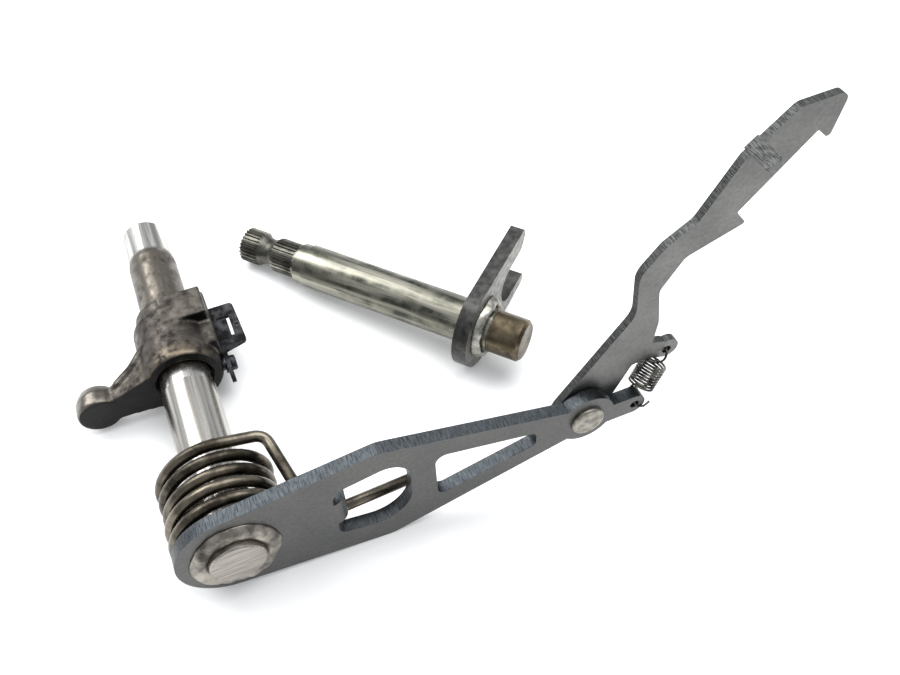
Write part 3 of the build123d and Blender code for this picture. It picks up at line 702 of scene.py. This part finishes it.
def spindle_steel():
    """Induction-hardened spindle steel, turned and ground, filmed with old oil in streaks.

    The splines hold dirt and are darkest, the body is streaked, and the end journal is brown.
    """
    material, tree, shader = start_material("hardened_spindle_steel", 1.0, 0.3)
    spot = surface_place(tree, spindle_space)
    station = add(tree, "ShaderNodeSeparateXYZ", {0: spot})["Z"]
    lengthwise = add(tree, "ShaderNodeMapping", {"Vector": spot, "Scale": (1.0, 1.0, 0.07)})[0]
    streaks = add(tree, "ShaderNodeTexNoise", {
        "Vector": lengthwise, "Scale": 1 / 2.4, "Detail": 5.0, "Distortion": 0.4})["Fac"]
    clouds = add(tree, "ShaderNodeTexNoise", {
        "Vector": spot, "Scale": 1 / 7, "Detail": 6.0, "Roughness": 0.65})["Fac"]
    streak = add(tree, "ShaderNodeMapRange", {"Value": streaks, "From Min": 0.42, "From Max": 0.62})[0]
    film = add(tree, "ShaderNodeMapRange", {"Value": clouds, "From Min": 0.38, "From Max": 0.62})[0]
    oily = add(tree, "ShaderNodeMix", {
        0: film, 6: linear("#3d3f39"), 7: linear("#7c7b70")}, data_type="RGBA")[2]
    body = add(tree, "ShaderNodeMix", {0: streak, 6: oily, 7: linear("#9f9c90")}, data_type="RGBA")[2]
    splined = add(tree, "ShaderNodeMapRange", {"Value": station, "From Min": 19.4, "From Max": 18.8})[0]
    dark = add(tree, "ShaderNodeMix", {
        0: film, 6: linear("#403f3b"), 7: linear("#74726b")}, data_type="RGBA")[2]
    ended = add(tree, "ShaderNodeMix", {0: splined, 6: body, 7: dark}, data_type="RGBA")[2]
    journal = add(tree, "ShaderNodeMapRange", {"Value": station, "From Min": 86.8, "From Max": 87.4})[0]
    brown = add(tree, "ShaderNodeMix", {
        0: film, 6: linear("#3b352b"), 7: linear("#6f6451")}, data_type="RGBA")[2]
    colour = add(tree, "ShaderNodeMix", {0: journal, 6: ended, 7: brown}, data_type="RGBA")[2]
    tree.links.new(colour, shader.inputs["Base Color"])
    rough = add(tree, "ShaderNodeMapRange", {
        "Value": clouds, "From Min": 0.3, "From Max": 0.7, "To Min": 0.46, "To Max": 0.3})[0]
    tree.links.new(rough, shader.inputs["Roughness"])
    bump = add(tree, "ShaderNodeBump", {"Height": clouds, "Strength": 0.12, "Distance": 0.1 * MM})[0]
    tree.links.new(bump, shader.inputs["Normal"])
    return material


def fork_steel():
    """Hot-rolled plate, flame-cut and ground on its faces: light grey faces, dark scaled edges."""
    material, tree, shader = start_material("hot_rolled_fork_plate", 1.0, 0.4)
    spot = surface_place(tree, spindle_space)
    normal = add(tree, "ShaderNodeTexCoord")["Normal"]
    facing = add(tree, "ShaderNodeVectorMath", {
        0: normal, 1: spindle_way}, operation="DOT_PRODUCT")["Value"]
    flat = add(tree, "ShaderNodeMath", {0: facing}, operation="ABSOLUTE")[0]
    on_edge = add(tree, "ShaderNodeMapRange", {"Value": flat, "From Min": 0.9, "From Max": 0.5})[0]
    clouds = add(tree, "ShaderNodeTexNoise", {"Vector": spot, "Scale": 1 / 2.2, "Detail": 6.0})["Fac"]
    tone = add(tree, "ShaderNodeMapRange", {"Value": clouds, "From Min": 0.36, "From Max": 0.64})[0]
    faced = add(tree, "ShaderNodeMix", {
        0: tone, 6: linear("#5f5e5a"), 7: linear("#8d8b86")}, data_type="RGBA")[2]
    edged = add(tree, "ShaderNodeMix", {
        0: tone, 6: linear("#363635"), 7: linear("#4e4e4c")}, data_type="RGBA")[2]
    colour = add(tree, "ShaderNodeMix", {0: on_edge, 6: faced, 7: edged}, data_type="RGBA")[2]
    tree.links.new(colour, shader.inputs["Base Color"])
    bump = add(tree, "ShaderNodeBump", {"Height": clouds, "Strength": 0.3, "Distance": 0.2 * MM})[0]
    tree.links.new(bump, shader.inputs["Normal"])
    return material


def bench_top():
    """Matt white painted board that the parts lie on."""
    material, tree, shader = start_material("white_painted_board", 0.0, 0.7)
    spot = surface_place(tree, shaft_space)
    fibres = add(tree, "ShaderNodeTexNoise", {"Vector": spot, "Scale": 1 / 30, "Detail": 3.0})["Fac"]
    colour = add(tree, "ShaderNodeMix", {
        0: fibres, 6: linear("#f4f4f4"), 7: linear("#f8f8f8")}, data_type="RGBA")[2]
    tree.links.new(colour, shader.inputs["Base Color"])
    # a little of its own light, so that the board stays white under the softboxes
    shader.inputs["Emission Color"].default_value = linear("#ffffff")
    shader.inputs["Emission Strength"].default_value = 0.14
    return material


# ---------------------------------------------------------------- setting the pieces
arm_steel = sheet_steel("cold_rolled_arm_sheet", "#585857", "#646361", "#505457", "#33373a")
claw_steel = sheet_steel("cold_rolled_claw_sheet", "#646462", "#767572", "#575857", "#2e2f2f")
wire_steel = spring_wire("oil_tempered_spring_wire", "#332f29", "#746d61", 9.0)
fine_wire_steel = spring_wire("oil_tempered_fine_wire", "#2b2a29", "#79756d", 3.0)

dress("pivot_shaft", ground_shaft(), 0.12)
dress("spring_sleeve", polished_sleeve())
dress("shift_arm", arm_steel, 0.22)
dress("claw", claw_steel, 0.2)
dress("claw_rivet", rivet_steel())
dress("stop_clip", blued_clip_steel("blued_spring_strip", "#1c1c1d", "#4b4b4c"), 0.12)
dress("clip_pin", blued_clip_steel("blackened_pin_steel", "#1b1c1f", "#54575c"), 0.1)
dress("spindle_shaft", spindle_steel())
dress("spindle_fork", fork_steel(), 0.3)

weld_finish = weld_metal("mild_steel_weld", "#4b4845", "#a09a90", 6.0)
boss_weld = ring_bead("boss_weld", place(0, 0, 0.05), toward, 6.9, 11.6, 2.3, 0.8, 3.0)
add_piece("boss_weld", boss_weld, "lever", "shaft_weld", weld_finish, "shaft_weld")
fork_weld_finish = weld_metal("bright_steel_weld", "#6f6d66", "#bab7af", 2.6)
fork_weld = ring_bead("fork_weld", along_spindle(83.55), spindle_way, 6.65, 9.3, 2.9, 0.9, 11.0)
add_piece("fork_weld", fork_weld, "spindle", "spindle_weld", fork_weld_finish, "spindle_weld")

coil_mesh = tube("wound_spring", return_spring_path(), COIL_WIRE_RADIUS * MM, 20)
add_piece("wound_spring", coil_mesh, "lever", "return_spring", wire_steel, "return_spring")
lever_mesh = drive_lever_mesh()
add_piece("forged_lever", lever_mesh, "lever", "drive_lever", forged_steel(), "drive_lever")

hooked_mesh = tube("hooked_spring", claw_spring_path(), TENSION_WIRE_RADIUS * MM, 10)
hooked_spring = add_piece("hooked_spring", hooked_mesh, None, "claw_spring", fine_wire_steel, "claw_spring")
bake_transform(hooked_spring)


# ---------------------------------------------------------------- bench, light and camera
PARTS_MIDDLE = Vector((0.06, -0.06, 0.0))


def bench():
    """A pale board under the parts, wide enough to fill the view."""
    half, height = 2.5, cad_box[0].z
    corners = [(-half, -half, height), (half, -half, height), (half, half, height), (-half, half, height)]
    mesh = bpy.data.meshes.new("bench")
    mesh.from_pydata(corners, [], [(0, 1, 2, 3)])
    mesh.materials.append(bench_top())
    board = bpy.data.objects.new("bench", mesh)
    bpy.context.scene.collection.objects.link(board)


def softbox(name, location, size, watts):
    """A square soft light that faces the parts."""
    lamp = bpy.data.lights.new(name, "AREA")
    lamp.size = size
    lamp.energy = watts
    light = bpy.data.objects.new(name, lamp)
    bpy.context.scene.collection.objects.link(light)
    light.location = location
    aim = PARTS_MIDDLE - Vector(location)
    light.rotation_euler = aim.to_track_quat("-Z", "Y").to_euler()


def room(brightness):
    """Even pale walls all round."""
    world = bpy.data.worlds.new("room")
    bpy.context.scene.world = world
    world.use_nodes = True
    background = world.node_tree.nodes["Background"]
    background.inputs["Color"].default_value = linear("#eef2f6")
    background.inputs["Strength"].default_value = brightness


def stand_camera():
    """Camera at the height and angle of a person standing over the bench."""
    camera = bpy.data.objects.new("camera", bpy.data.cameras.new("camera"))
    bpy.context.scene.collection.objects.link(camera)
    camera.location = (0.00168, -0.21404, 0.21411)
    camera.rotation_euler = (radians(37.696), radians(-3.112), radians(-22.639))
    camera.data.lens = 36.236
    camera.data.sensor_width = 36.0
    camera.data.clip_start = 0.01
    bpy.context.scene.camera = camera


bench()
room(0.76)
softbox("window_light", (-0.45, 0.55, 0.75), 0.7, 9.0)
softbox("ceiling_light", (0.35, 0.1, 0.95), 0.9, 9.0)
stand_camera()
bpy.context.scene.view_settings.view_transform = "Standard"
